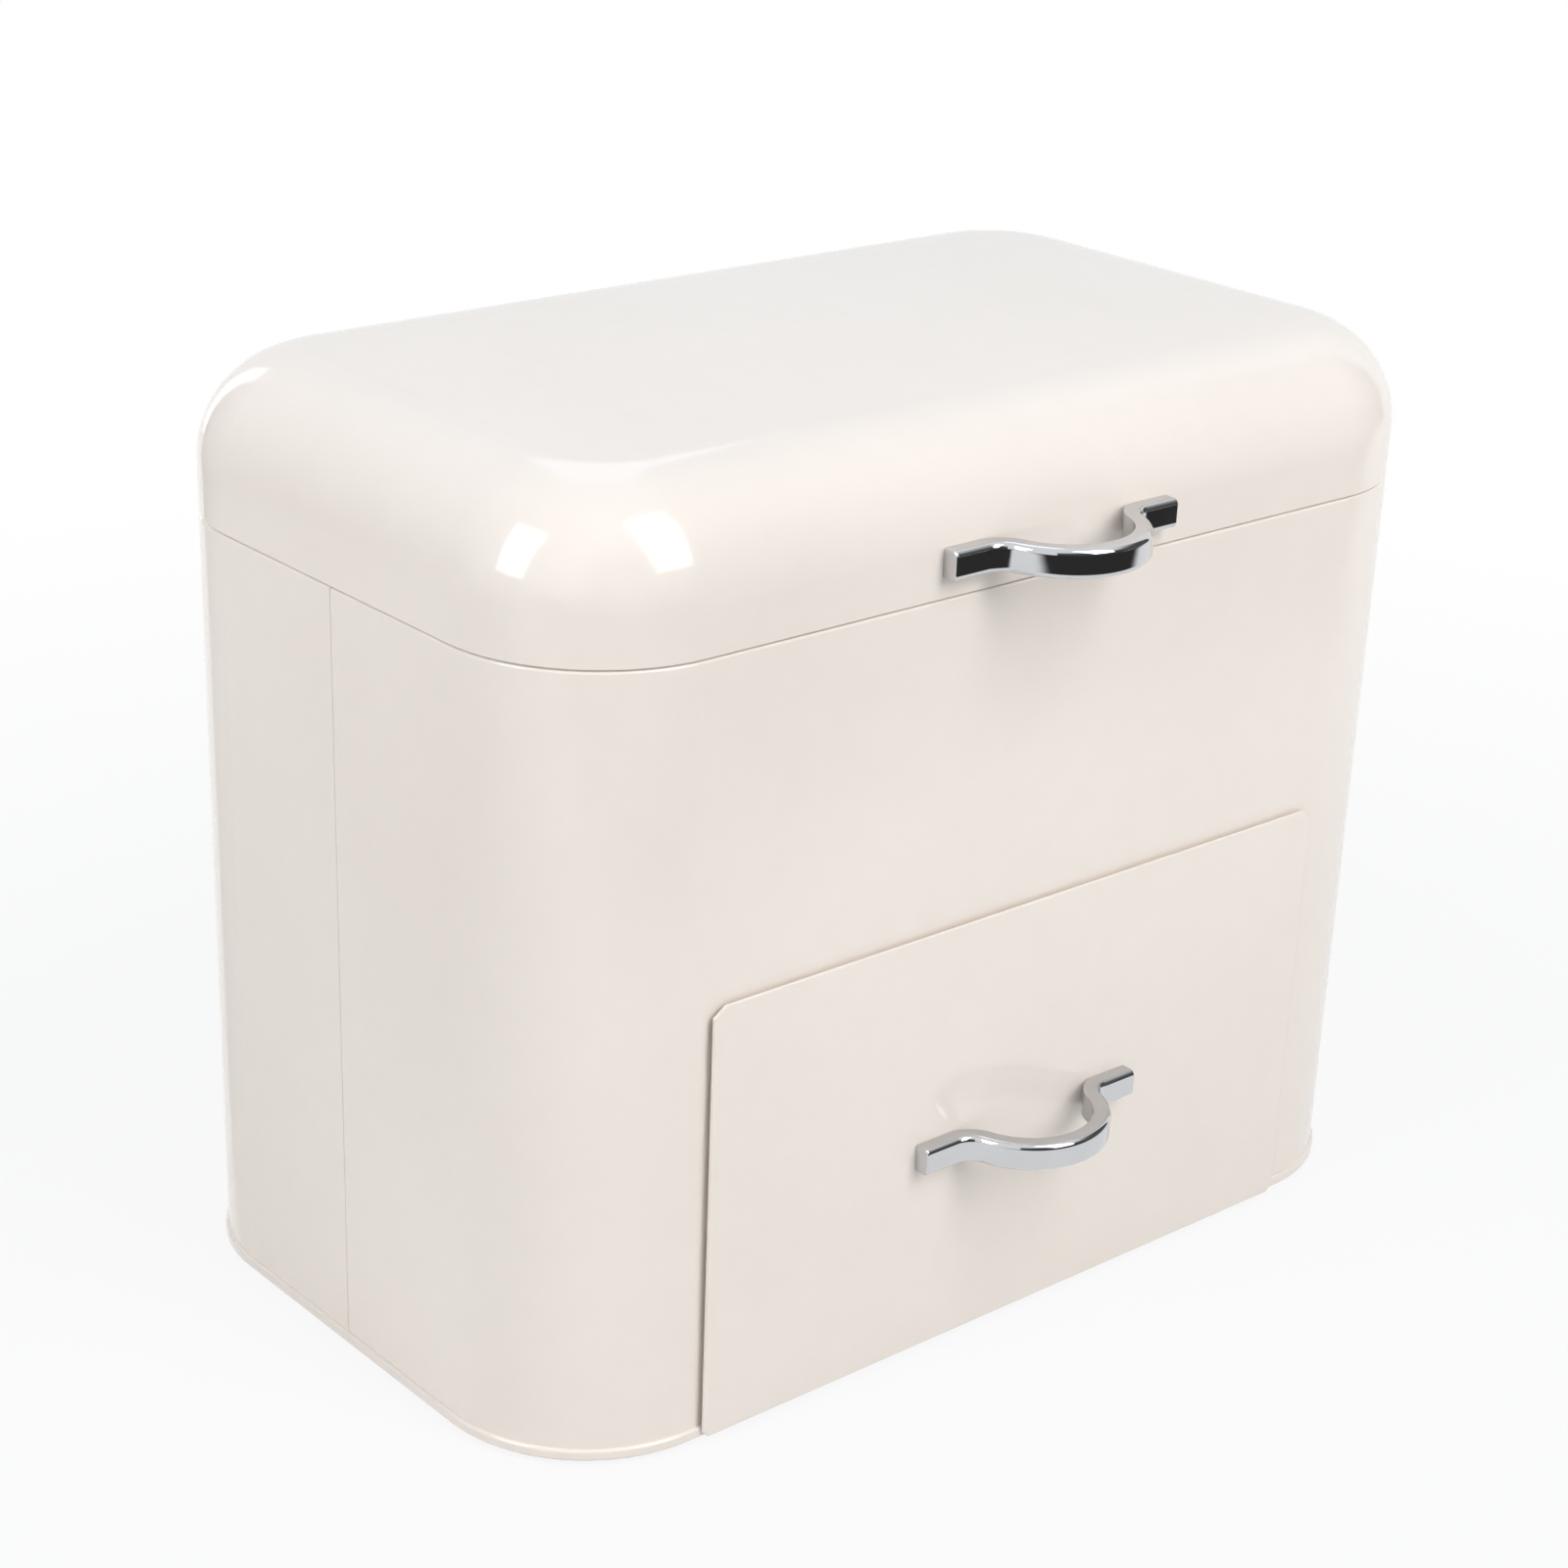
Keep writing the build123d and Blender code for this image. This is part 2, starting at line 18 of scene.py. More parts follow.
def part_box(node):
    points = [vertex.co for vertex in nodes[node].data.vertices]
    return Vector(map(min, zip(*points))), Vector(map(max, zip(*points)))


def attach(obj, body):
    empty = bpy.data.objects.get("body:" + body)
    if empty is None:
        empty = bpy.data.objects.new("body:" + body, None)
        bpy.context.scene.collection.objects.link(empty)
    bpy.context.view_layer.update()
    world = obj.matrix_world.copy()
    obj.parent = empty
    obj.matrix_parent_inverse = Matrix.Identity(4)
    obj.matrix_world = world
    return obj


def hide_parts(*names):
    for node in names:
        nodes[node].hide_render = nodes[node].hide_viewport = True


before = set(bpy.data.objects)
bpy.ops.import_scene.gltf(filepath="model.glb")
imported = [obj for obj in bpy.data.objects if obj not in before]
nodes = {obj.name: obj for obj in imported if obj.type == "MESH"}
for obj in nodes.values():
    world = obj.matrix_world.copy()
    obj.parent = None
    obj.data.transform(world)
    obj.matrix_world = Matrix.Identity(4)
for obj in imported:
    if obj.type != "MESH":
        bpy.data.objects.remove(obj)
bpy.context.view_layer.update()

# %% [markdown]
# ## Camera
# The picture was taken from the front left, a little above the lid, from
# about a metre away. Its upright edges lean together only slightly, so the
# lens is fairly long. The camera could be placed by eye, but a turn, a tilt
# and a distance from a point on the box are easier to correct, and each one
# can be measured against the outline of the picture.

# %% Place the camera by its turn, tilt and distance
sensor_width = 36.0
picture_width = 1600
lens_in_pixels = 3280.2
turn, tilt, lean = math.radians(-41.025), math.radians(24.344), math.radians(2.134)
camera_distance = 1.0109
aim_beside, aim_height, box_middle_y = -0.0047, 0.0986, 0.0118
picture_lift = 120
nearest_shown = 0.01

away = Vector((math.sin(turn) * math.cos(tilt), -math.cos(turn) * math.cos(tilt), math.sin(tilt)))
rightward = Vector((math.cos(turn), math.sin(turn), 0))
upward = away.cross(rightward)
aim = Vector((0, box_middle_y, aim_height)) + rightward * aim_beside
leaned_right = rightward * math.cos(lean) + upward * math.sin(lean)
leaned_up = upward * math.cos(lean) - rightward * math.sin(lean)

camera_data = bpy.data.cameras.new("picture_camera")
camera_data.sensor_width = sensor_width
camera_data.lens = lens_in_pixels * sensor_width / picture_width
camera_data.shift_y = picture_lift / picture_width
camera_data.clip_start = nearest_shown
camera = bpy.data.objects.new("picture_camera", camera_data)
bpy.context.scene.collection.objects.link(camera)
camera.matrix_world = Matrix.Translation(aim + away * camera_distance) @ Matrix(
    (leaned_right, leaned_up, away)).transposed().to_4x4()
bpy.context.scene.camera = camera
bpy.context.scene.view_settings.view_transform = "Standard"
print("camera at", [round(v, 3) for v in camera.matrix_world.translation],
      "lens", round(camera_data.lens, 1), "mm")

# %% [markdown]
# ## Helpers for materials
# Every finish below is a small graph of nodes. One function turns the hex
# colours that people pick on screen into the linear numbers that light
# works in. The next adds a node with its settings and its links, so that
# each material reads as a list of what it does. The last starts an empty
# material.

# %% Colours and nodes


def linear(hex_colour):
    """The linear red, green and blue of a hex colour, and an alpha of 1."""
    channels = [int(hex_colour[i:i + 2], 16) / 255 for i in (1, 3, 5)]
    return [c / 12.92 if c <= 0.04045 else ((c + 0.055) / 1.055) ** 2.4 for c in channels] + [1.0]


def add(tree, kind, settings=None, **inputs):
    """Adds a node. An input is a number, a colour or the socket that feeds it."""
    made = tree.nodes.new(kind)
    for name, value in (settings or {}).items():
        setattr(made, name, value)
    for name, value in inputs.items():
        socket = made.inputs[int(name[1:])] if name[1:].isdigit() else made.inputs[name.replace("_", " ")]
        if isinstance(value, bpy.types.NodeSocket):
            tree.links.new(value, socket)
        else:
            socket.default_value = value
    return made


def new_material(name):
    """A material without nodes, and the tree in which its nodes are put."""
    material = bpy.data.materials.new(name)
    material.use_nodes = True
    material.node_tree.nodes.clear()
    return material, material.node_tree


print("white as linear light:", linear("#FFFFFF"))

# %% [markdown]
# ## Gloss cream enamel
# The sheet is coated with enamel paint and baked. That leaves a hard,
# smooth skin with a faint orange peel, a ripple about 2 mm across and a few
# thousandths of a millimetre deep. Thin sheet is never quite flat either: it
# waves by some hundredths of a millimetre over a hand's width, and that bends
# the edges of reflections. Both are heights, so both go through Bump nodes,
# and the colour itself only drifts a little, as thick and thin paint does.
# The pieces inside get a thinner coat that dries to a satin, and the same
# function makes both.

# %% Make the gloss and the satin enamel
drift_size, mottle_size = 0.14, 0.011       # of the changes in colour
wave_size, wave_height = 0.09, 0.00018      # of the sheet
peel_size = 0.0024                          # of the ripple in the enamel


def enamel(name, thick, thin, roughest, smoothest, peel_depth):
    """Baked enamel, with the colours of its thick and thin coat and its range of gloss."""
    material, tree = new_material(name)
    place = add(tree, "ShaderNodeTexCoord").outputs["Object"]
    drift = add(tree, "ShaderNodeTexNoise", Vector=place, Scale=1 / drift_size, Detail=3.0, Roughness=0.5)
    mottle = add(tree, "ShaderNodeTexNoise", Vector=place, Scale=1 / mottle_size, Detail=4.0, Roughness=0.6)
    both = add(tree, "ShaderNodeMath", {"operation": "MULTIPLY_ADD"},
               _0=mottle.outputs["Fac"], _1=0.35, _2=drift.outputs["Fac"])
    share = add(tree, "ShaderNodeMapRange", Value=both.outputs["Value"],
                From_Min=0.45, From_Max=0.90, To_Min=0.0, To_Max=1.0)
    colour = add(tree, "ShaderNodeMix", {"data_type": "RGBA"}, Factor=share.outputs["Result"],
                 _6=linear(thick), _7=linear(thin))
    gloss = add(tree, "ShaderNodeMapRange", Value=mottle.outputs["Fac"],
                From_Min=0.3, From_Max=0.7, To_Min=smoothest, To_Max=roughest)
    wave = add(tree, "ShaderNodeTexNoise", Vector=place, Scale=1 / wave_size, Detail=1.0, Roughness=0.3)
    peel = add(tree, "ShaderNodeTexNoise", Vector=place, Scale=1 / peel_size, Detail=1.0, Roughness=0.4)
    waved = add(tree, "ShaderNodeBump", Strength=1.0, Distance=wave_height, Height=wave.outputs["Fac"])
    peeled = add(tree, "ShaderNodeBump", Strength=1.0, Distance=peel_depth, Height=peel.outputs["Fac"],
                 Normal=waved.outputs["Normal"])
    paint = add(tree, "ShaderNodeBsdfPrincipled", Base_Color=colour.outputs[2],
                Roughness=gloss.outputs["Result"], Normal=peeled.outputs["Normal"])
    paint.inputs["IOR"].default_value = 1.52
    add(tree, "ShaderNodeOutputMaterial", Surface=paint.outputs["BSDF"])
    return material


gloss_enamel = enamel("baked_cream_gloss_enamel", "#EEE3D8", "#E9DED2", 0.13, 0.09, 0.000007)
satin_enamel = enamel("thin_cream_satin_enamel", "#EBE0D3", "#E4D8CA", 0.46, 0.36, 0.000016)
print("enamels:", gloss_enamel.name, satin_enamel.name)

# %% [markdown]
# ## Chrome plate
# The bow handles are zinc castings, polished and chromed. Chrome is a mirror
# that gives back a little more than half of the light and turns it slightly
# blue. What makes it look real is what it reflects and the low ripple left by
# the polishing wheel, so the material has that ripple and faint patches where
# fingers have dulled it.

# %% Make the chrome
ripple_size, ripple_height = 0.007, 0.00002
touch_size = 0.016
chrome, tree = new_material("polished_chrome_plate")
place = add(tree, "ShaderNodeTexCoord").outputs["Object"]
ripple = add(tree, "ShaderNodeTexNoise", Vector=place, Scale=1 / ripple_size, Detail=2.0, Roughness=0.4)
touched = add(tree, "ShaderNodeTexNoise", Vector=place, Scale=1 / touch_size, Detail=3.0, Roughness=0.6)
dulled = add(tree, "ShaderNodeMapRange", Value=touched.outputs["Fac"],
             From_Min=0.4, From_Max=0.75, To_Min=0.05, To_Max=0.13)
tint = add(tree, "ShaderNodeMix", {"data_type": "RGBA"}, Factor=touched.outputs["Fac"],
           _6=linear("#D2D3D6"), _7=linear("#C8C9CB"))
rippled = add(tree, "ShaderNodeBump", Strength=1.0, Distance=ripple_height, Height=ripple.outputs["Fac"])
plate = add(tree, "ShaderNodeBsdfPrincipled", Base_Color=tint.outputs[2], Metallic=1.0,
            Roughness=dulled.outputs["Result"], Normal=rippled.outputs["Normal"])
add(tree, "ShaderNodeOutputMaterial", Surface=plate.outputs["BSDF"])
print("made", chrome.name)

# %% [markdown]
# ## Zinc-plated steel
# Hinges, screws, rivets, washers and runners are plain steel with a bright
# zinc plate. It is grey with a hint of blue, duller than chrome, and shows
# the lines of the rolling mill. The lines are noise stretched along X, about
# a quarter of a millimetre apart, the finest that a picture of the whole box
# can show.

# %% Make the zinc plate
line_spacing, line_height = 0.00025, 0.000004
line_stretch = (0.05, 1.0, 1.0)             # a smaller number is a longer line
cloud_size = 0.006
zinc, tree = new_material("bright_zinc_plated_steel")
place = add(tree, "ShaderNodeTexCoord").outputs["Object"]
stretched = add(tree, "ShaderNodeMapping", Vector=place, Scale=line_stretch)
lines = add(tree, "ShaderNodeTexNoise", Vector=stretched.outputs["Vector"], Scale=1 / line_spacing,
            Detail=2.0, Roughness=0.5)
clouds = add(tree, "ShaderNodeTexNoise", Vector=place, Scale=1 / cloud_size, Detail=4.0, Roughness=0.6)
grey = add(tree, "ShaderNodeMix", {"data_type": "RGBA"}, Factor=clouds.outputs["Fac"],
           _6=linear("#C2C6CA"), _7=linear("#A7ABB0"))
dull = add(tree, "ShaderNodeMapRange", Value=clouds.outputs["Fac"],
           From_Min=0.3, From_Max=0.7, To_Min=0.26, To_Max=0.42)
lined = add(tree, "ShaderNodeBump", Strength=0.6, Distance=line_height, Height=lines.outputs["Fac"])
plating = add(tree, "ShaderNodeBsdfPrincipled", Base_Color=grey.outputs[2], Metallic=1.0,
              Roughness=dull.outputs["Result"], Normal=lined.outputs["Normal"])
add(tree, "ShaderNodeOutputMaterial", Surface=plating.outputs["BSDF"])
print("made", zinc.name)

# %% [markdown]
# ## Black rubber
# The feet are moulded rubber, nearly black, with the fine grain of a blasted
# mould, 0.4 mm across, and a greyer bloom where dust clings.

# %% Make the rubber
grain_size, grain_height = 0.0004, 0.00003
bloom_size = 0.005
rubber, tree = new_material("moulded_black_rubber")
place = add(tree, "ShaderNodeTexCoord").outputs["Object"]
grain = add(tree, "ShaderNodeTexNoise", Vector=place, Scale=1 / grain_size, Detail=2.0, Roughness=0.5)
bloom = add(tree, "ShaderNodeTexNoise", Vector=place, Scale=1 / bloom_size, Detail=3.0, Roughness=0.6)
black = add(tree, "ShaderNodeMix", {"data_type": "RGBA"}, Factor=bloom.outputs["Fac"],
            _6=linear("#1D1D1E"), _7=linear("#2C2B2A"))
grained = add(tree, "ShaderNodeBump", Strength=1.0, Distance=grain_height, Height=grain.outputs["Fac"])
moulded = add(tree, "ShaderNodeBsdfPrincipled", Base_Color=black.outputs[2], Roughness=0.78,
              Normal=grained.outputs["Normal"])
add(tree, "ShaderNodeOutputMaterial", Surface=moulded.outputs["BSDF"])
print("made", rubber.name)

# %% [markdown]
# ## Dress the CAD pieces
# Each CAD node keeps its mesh and gets the finish of the real piece in its
# material slot. A list per finish is longer than a rule by name, but it can
# be read at a glance and misses nothing unnoticed: the count is printed.

# %% Give every piece its finish
finishes = {
    gloss_enamel: ["lid_shell", "body_front_wrap", "body_back_wrap", "base_pan", "drawer_front"],
    satin_enamel: ["drawer_tray", "drawer_stops", "bread_floor", "seam_strap_left", "seam_strap_right"],
    chrome: ["lid_handle", "drawer_handle"],
    zinc: ["lid_handle_screws", "lid_handle_washers", "drawer_handle_screws", "drawer_handle_washers",
           "drawer_runner_left", "drawer_runner_right", "hinge_body_leaf_left", "hinge_body_leaf_right",
           "hinge_lid_leaf_left", "hinge_lid_leaf_right", "hinge_pin_left", "hinge_pin_right",
           "hinge_body_rivets", "hinge_lid_rivets"],
    rubber: ["rubber_feet"],
}
for material, names in finishes.items():
    for name in names:
        for slot in nodes[name].material_slots:
            slot.material = material
bare = sorted(set(nodes) - {name for names in finishes.values() for name in names})
print("pieces per finish:", {m.name: len(n) for m, n in finishes.items()}, "left bare:", bare)

# %% [markdown]
# ## Helpers for the script's own pieces
# The handles and the seams below are both a closed outline that is repeated
# along a line, bridged from each to the next and capped at its two ends.
# One function does that, and another makes an object of the mesh. Curve
# objects with a bevel would do it too, but their outline turns with the
# curve, and here each corner has its place.

# %% Bridge outlines into a piece


def finished(name, shape, material):
    """An object in the scene, with the finish on its only slot."""
    mesh = bpy.data.meshes.new(name)
    shape.to_mesh(mesh)
    shape.free()
    mesh.materials.append(material)
    made = bpy.data.objects.new(name, mesh)
    bpy.context.scene.collection.objects.link(made)
    return made


def bridged(name, outlines, material):
    """A capped solid through closed outlines with equally many corners."""
    shape = bmesh.new()
    loops = []
    for outline in outlines:
        ring = [shape.verts.new(corner) for corner in outline]
        loops.append([shape.edges.new(pair) for pair in zip(ring, ring[1:] + ring[:1])])
    for this, following in zip(loops, loops[1:]):
        bmesh.ops.bridge_loops(shape, edges=this + following)
    for end in (loops[0], loops[-1]):
        bmesh.ops.contextual_create(shape, geom=end)
    bmesh.ops.recalc_face_normals(shape, faces=shape.faces)
    print(name, "has", len(shape.verts), "corners and", len(shape.faces), "faces")
    return finished(name, shape, material)


# %% [markdown]
# ## Bow handles
# Each handle is one bar of zinc, cast with a foot, a bend, the bow, a bend and
# a foot, then polished and chromed. The CAD handles carry the motion, but they
# are a little longer, thicker and less curved than the ones in the picture,
# which were measured more closely later. So two finer bars stand for them to
# the eye, on the same faces and screws. They could be cut from a plate and
# rounded afterwards, but a rounded section that is swept along the bar's
# middle line keeps its edges even all the way, as the casting's are.

# %% Sweep the bow handles
handle_length, handle_projection = 0.085, 0.0266
bar_thickness, bar_height = 0.0053, 0.0086
bow_radius, bend_radius = 0.0232, 0.0088
outer_round, inner_round, end_round = 0.0018, 0.0004, 0.0006
arc_steps, corner_steps = 16, 6
sharp_above = 40            # degrees between two faces


def arc(middle, radius, start, end, outer_side):
    """Places along an arc, each with the direction in which the bar's outer face looks."""
    rays = [Vector((math.cos(a), math.sin(a)))
            for a in (start + (end - start) * k / arc_steps for k in range(arc_steps + 1))]
    return [(middle + radius * ray, outer_side * ray, 0.0) for ray in rays]


def half_bar():
    """From a foot's end to the crown: its place in plan, the outward direction and the end's inset."""
    flat = bar_thickness / 2
    bow_middle = Vector((0, handle_projection - flat - bow_radius))
    rise = flat + bend_radius - bow_middle.y
    bend_middle = Vector((math.sqrt((bow_radius + bend_radius) ** 2 - rise ** 2), flat + bend_radius))
    turn = math.atan2(rise, bend_middle.x)
    foot = []
    for k in range(corner_steps + 1):
        a = math.pi / 2 * k / corner_steps
        end = Vector((handle_length / 2 - end_round * (1 - math.cos(a)), flat))
        foot.append((end, Vector((0, 1)), end_round * (1 - math.sin(a))))
    bend = arc(bend_middle, bend_radius, 1.5 * math.pi, math.pi + turn, -1)
    return foot + bend + arc(bow_middle, bow_radius, turn, math.pi / 2, 1)[1:]


def section(inset):
    """The bar's rounded section, as distances out of its middle line and up."""
    out, up = bar_thickness / 2 - inset, bar_height / 2 - inset
    corners = [(out, up, outer_round), (-bar_thickness / 2, up, inner_round),
               (-bar_thickness / 2, -up, inner_round), (out, -up, outer_round)]
    points = []
    for quarter, (n, z, radius) in enumerate(corners):
        middle = Vector((n - math.copysign(radius, n), z - math.copysign(radius, z)))
        for k in range(corner_steps + 1):
            a = math.pi / 2 * (quarter + k / corner_steps)
            points.append(middle + radius * Vector((math.cos(a), math.sin(a))))
    return points


def bow_handle(name, node, body):
    """A handle in place of a CAD node, on the same face and at the same height."""
    low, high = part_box(node)
    face_y, middle_z = high[1], (low[2] + high[2]) / 2
    right = half_bar()
    left = [(Vector((-p.x, p.y)), Vector((-n.x, n.y)), inset) for p, n, inset in reversed(right[:-1])]
    outlines = []
    for place, outwards, inset in right + left:
        spots = [(place + outwards * n, z) for n, z in section(inset)]
        outlines.append([(spot.x, face_y - spot.y, middle_z + z) for spot, z in spots])
    bar = bridged(name, outlines, chrome)
    bar.data.shade_smooth()
    bar.data.set_sharp_from_angle(angle=math.radians(sharp_above))
    bar.modifiers.new("flat_faces_stay_flat", "WEIGHTED_NORMAL").keep_sharp = True
    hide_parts(node)
    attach(bar, body)
    print("its middle is", round(middle_z, 4), "high, its front at", round(face_y - handle_projection, 4),
          "and the CAD handle's at", round(low[1], 4))


bow_handle("lid_bow_handle", "lid_handle", "lid")
bow_handle("drawer_bow_handle", "drawer_handle", "drawer")

# %% [markdown]
# ## Enamel in the side seams
# Half way along each side the front wall and the back wall meet edge to edge,
# with a strip welded behind. The wet enamel runs into that line and nearly
# fills it, so the seam shows as a faint crease, not as a dark line. A thin
# rib with a hollow face, as a liquid takes between two edges, fills each one.

# %% Fill the side seams
crease_half, crease_shallow, crease_deep = 0.00014, 0.00010, 0.00024
crease_steps = 6
bead_top = 0.005            # above the floor
wall_below_lid = 0.0018     # end of the seam below the lid's lower edge


def seam_enamel(side):
    """The rib in one side's seam, from the bead at the bottom to the wall's rounded top."""
    strap_low, strap_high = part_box(f"seam_strap_{side}")
    wall_low, wall_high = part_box("body_front_wrap")
    sign, face = (1, wall_high[0]) if side == "right" else (-1, wall_low[0])
    back = strap_high[0] if side == "right" else strap_low[0]
    middle_y = (strap_low[1] + strap_high[1]) / 2
    outline = [(back, -crease_half)]
    for k in range(crease_steps + 1):
        across = 2 * k / crease_steps - 1
        depth = crease_deep + (crease_shallow - crease_deep) * across ** 2
        outline.append((face - sign * depth, across * crease_half))
    outline.append((back, crease_half))
    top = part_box("lid_shell")[0][2] - wall_below_lid
    levels = [[(x, middle_y + y, z) for x, y in outline] for z in (bead_top, top)]
    rib = bridged(f"seam_enamel_{side}", levels, gloss_enamel)
    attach(rib, "body")
    print("it ends", round(top, 4), "high, behind a wall face at", round(face, 4))


for side in ("left", "right"):
    seam_enamel(side)

# %% [markdown]
# ## Floor and surroundings
# The box stands in a white studio. The floor is one large pale sheet. For
# the camera and for reflections most of it glows at strength 1, which is
# white, and the rest is matt paper, a little grey, that catches the shadow.
# The light that the floor throws back on the box comes from that paper
# alone. The glow grows with the distance, so the floor ends in plain white.
# The world does the same above the horizon: white to the camera and to
# mirrors, and a softer light for everything else, white from the sides and
# dimmer and bluer overhead, as under a high, dark ceiling.

# %% Make the floor and the world
floor_reach = 9
shadow_near, shadow_far = 0.30, 0.80        # from the middle of the box
glow_near, glow_far = 0.89, 1.0
room_light = 0.73
dimmest_above = 0.9                         # height of a direction, 1 is straight up


def seen_directly(tree):
    """1 for camera, glossy and transmission rays, and 0 for the rays that light things."""
    path = add(tree, "ShaderNodeLightPath")
    mirror = add(tree, "ShaderNodeMath", {"operation": "MAXIMUM"},
                 _0=path.outputs["Is Glossy Ray"], _1=path.outputs["Is Transmission Ray"])
    return add(tree, "ShaderNodeMath", {"operation": "MAXIMUM"},
               _0=path.outputs["Is Camera Ray"], _1=mirror.outputs["Value"]).outputs["Value"]


paper, tree = new_material("white_studio_paper")
place = add(tree, "ShaderNodeTexCoord").outputs["Object"]
distance = add(tree, "ShaderNodeVectorMath", {"operation": "LENGTH"}, _0=place)
whiteness = add(tree, "ShaderNodeMapRange", Value=distance.outputs["Value"],
                From_Min=shadow_near, From_Max=shadow_far, To_Min=glow_near, To_Max=glow_far)
share = add(tree, "ShaderNodeMath", {"operation": "MULTIPLY"},
            _0=seen_directly(tree), _1=whiteness.outputs["Result"])
matt = add(tree, "ShaderNodeBsdfDiffuse", Color=linear("#CDCDCC"))
glow = add(tree, "ShaderNodeEmission", Color=linear("#FFFFFF"), Strength=1.0)
mixed = add(tree, "ShaderNodeMixShader", _0=share.outputs["Value"], _1=matt.outputs["BSDF"],
            _2=glow.outputs["Emission"])
add(tree, "ShaderNodeOutputMaterial", Surface=mixed.outputs["Shader"])
shape = bmesh.new()
bmesh.ops.create_grid(shape, x_segments=1, y_segments=1, size=floor_reach)
floor = finished("floor", shape, paper)

world = bpy.data.worlds.new("white_studio")
bpy.context.scene.world = world
world.use_nodes = True
tree = world.node_tree
tree.nodes.clear()
direction = add(tree, "ShaderNodeTexCoord").outputs["Generated"]
height = add(tree, "ShaderNodeSeparateXYZ", Vector=direction)
overhead = add(tree, "ShaderNodeMapRange", Value=height.outputs["Z"],
               From_Min=0.0, From_Max=dimmest_above, To_Min=0.0, To_Max=1.0)
tone = add(tree, "ShaderNodeMix", {"data_type": "RGBA"}, Factor=overhead.outputs["Result"],
           _6=linear("#FFFFFF"), _7=linear("#7895B4"))
soft = add(tree, "ShaderNodeBackground", Color=tone.outputs[2], Strength=room_light)
shown = add(tree, "ShaderNodeBackground", Color=linear("#FFFFFF"), Strength=1.0)
mixed = add(tree, "ShaderNodeMixShader", _0=seen_directly(tree), _1=soft.outputs["Background"],
            _2=shown.outputs["Background"])
add(tree, "ShaderNodeOutputWorld", Surface=mixed.outputs["Shader"])
print("floor", 2 * floor_reach, "m square, room light", room_light)

# %% [markdown]
# ## Four soft boxes
# The front left corner of the lid shows two bright patches with straight
# edges. They are the reflections of two soft boxes, one to the left of the
# box and one in front of it. Light leaves a mirror at the angle at which it
# came, so the corners of a patch give the direction and size of its lamp. A
# third one, high behind the box, makes the paler band where the lid's top
# starts to curve. Together they lift the room light to a plain level. The
# fourth is large, low and faint. It does the same for the back, which the
# picture doesn't show.

# %% Hang the soft boxes
box_centre = Vector((0, 0.01, 0.16))


def soft_box(name, compass, height, distance, wide, tall, power, colour):
    """A lamp seen from the box at that compass angle (0 is behind it, 180 in front) and height in degrees."""
    a, h = math.radians(compass), math.radians(height)
    towards = Vector((math.sin(a) * math.cos(h), math.cos(a) * math.cos(h), math.sin(h)))
    lamp = bpy.data.lights.new(name, "AREA")
    lamp.shape = "RECTANGLE"
    lamp.size, lamp.size_y = wide, tall
    lamp.energy = power
    lamp.color = linear(colour)[:3]
    holder = bpy.data.objects.new(name, lamp)
    bpy.context.scene.collection.objects.link(holder)
    facing = towards.to_track_quat("Z", "Y").to_matrix().to_4x4()
    holder.matrix_world = Matrix.Translation(box_centre + towards * distance) @ facing
    holder.visible_camera = False
    print(name, "at", [round(v, 2) for v in holder.matrix_world.translation],
          "radiance", round(power / (math.pi * wide * tall), 2))


soft_box("soft_box_left", -90, 30, 1.6, 0.52, 1.08, 10.4, "#FFFFFF")
soft_box("soft_box_front", 168, 42, 1.7, 0.80, 1.50, 20.4, "#FFFFFF")
soft_box("soft_box_above", 34, 53, 1.7, 0.60, 1.05, 2.0, "#CFE4FF")
soft_box("soft_box_back", -15, 14, 1.7, 1.30, 1.10, 5.6, "#FFFFFF")

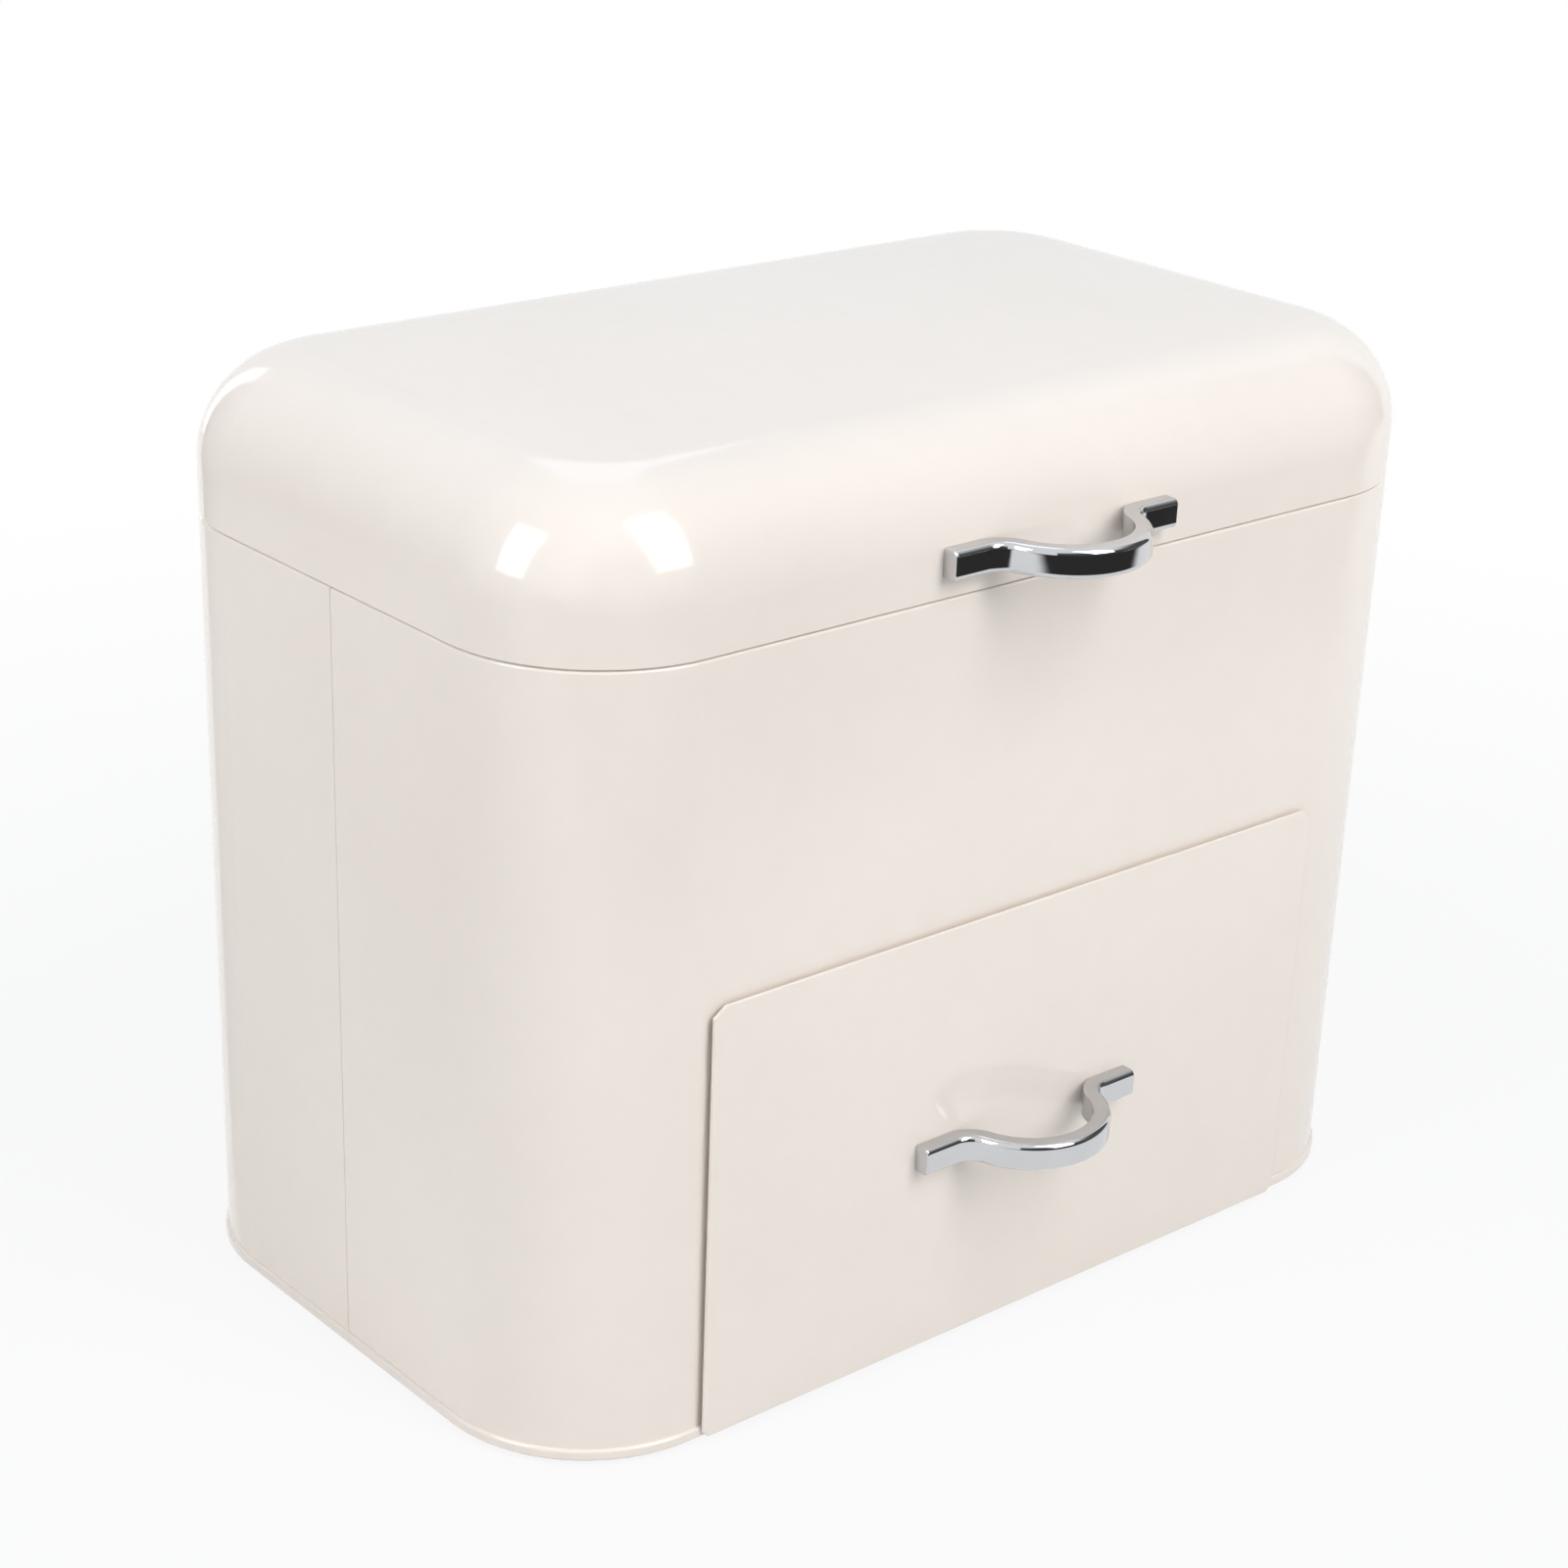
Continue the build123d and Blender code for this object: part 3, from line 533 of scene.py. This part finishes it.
# %% [markdown]
# ## Cards for the reflections
# Chrome in an all-white room looks like grey plastic, and gloss enamel looks
# flat. In the picture the lid's handle mirrors a dark room beyond the white
# table, the drawer's handle, lower down, mirrors the table, and the left
# side mirrors a greyer part of the room. Grey and black cards around the box
# do the same. Each fades from one tone to another, so that no edge shows.
# They are out of the camera's sight and give no shadow: only mirrors see
# them.

# %% Set up the cards


def card(name, corners, axis, near, far, near_tone, far_tone):
    """A card that only mirrors see, fading along X, Y or Z from one tone to another."""
    material, tree = new_material(name)
    place = add(tree, "ShaderNodeTexCoord").outputs["Object"]
    along = add(tree, "ShaderNodeSeparateXYZ", Vector=place).outputs[axis]
    fade = add(tree, "ShaderNodeMapRange", {"interpolation_type": "SMOOTHSTEP"}, Value=along,
               From_Min=near, From_Max=far, To_Min=near_tone, To_Max=far_tone)
    tone = add(tree, "ShaderNodeEmission", Color=linear("#FFFFFF"), Strength=fade.outputs["Result"])
    add(tree, "ShaderNodeOutputMaterial", Surface=tone.outputs["Emission"])
    shape = bmesh.new()
    shape.faces.new([shape.verts.new(corner) for corner in corners])
    made = finished(name, shape, material)
    made.visible_camera = made.visible_diffuse = made.visible_shadow = made.visible_transmission = False


def lying(left, right, front, back):
    """The corners of a card on the floor."""
    return [(x, y, card_lift) for x, y in ((left, front), (right, front), (right, back), (left, back))]


def standing(start, end, top):
    """The corners of an upright card between two places on the floor."""
    return [(*start, 0.0), (*end, 0.0), (*end, top), (*start, top)]


card_lift = 0.002           # above the floor
room_left, room_right, room_front, room_top = -2.2, 1.8, -2.2, 3.0
table_left, table_back = -1.6, 0.80
card("table_edge_front", lying(room_left, 1.5, room_front, -0.32), "Y", -0.34, -0.54, 0.95, 0.035)
card("dark_room_front", standing((room_left, room_front), (room_right, room_front), room_top),
     "Z", 1.2, 2.8, 0.07, 0.9)
card("dark_room_right", standing((room_right, room_front), (room_right, -0.1), room_top),
     "Z", 1.2, 2.8, 0.10, 0.9)
card("grey_table_left", lying(table_left, -0.172, -0.06, table_back), "Y", -0.06, 0.24, 0.95, 0.5)
card("grey_room_left", standing((table_left, table_back), (-0.15, table_back), 1.0),
     "Z", 0.0, 0.9, 0.25, 0.95)
print("five cards set up")
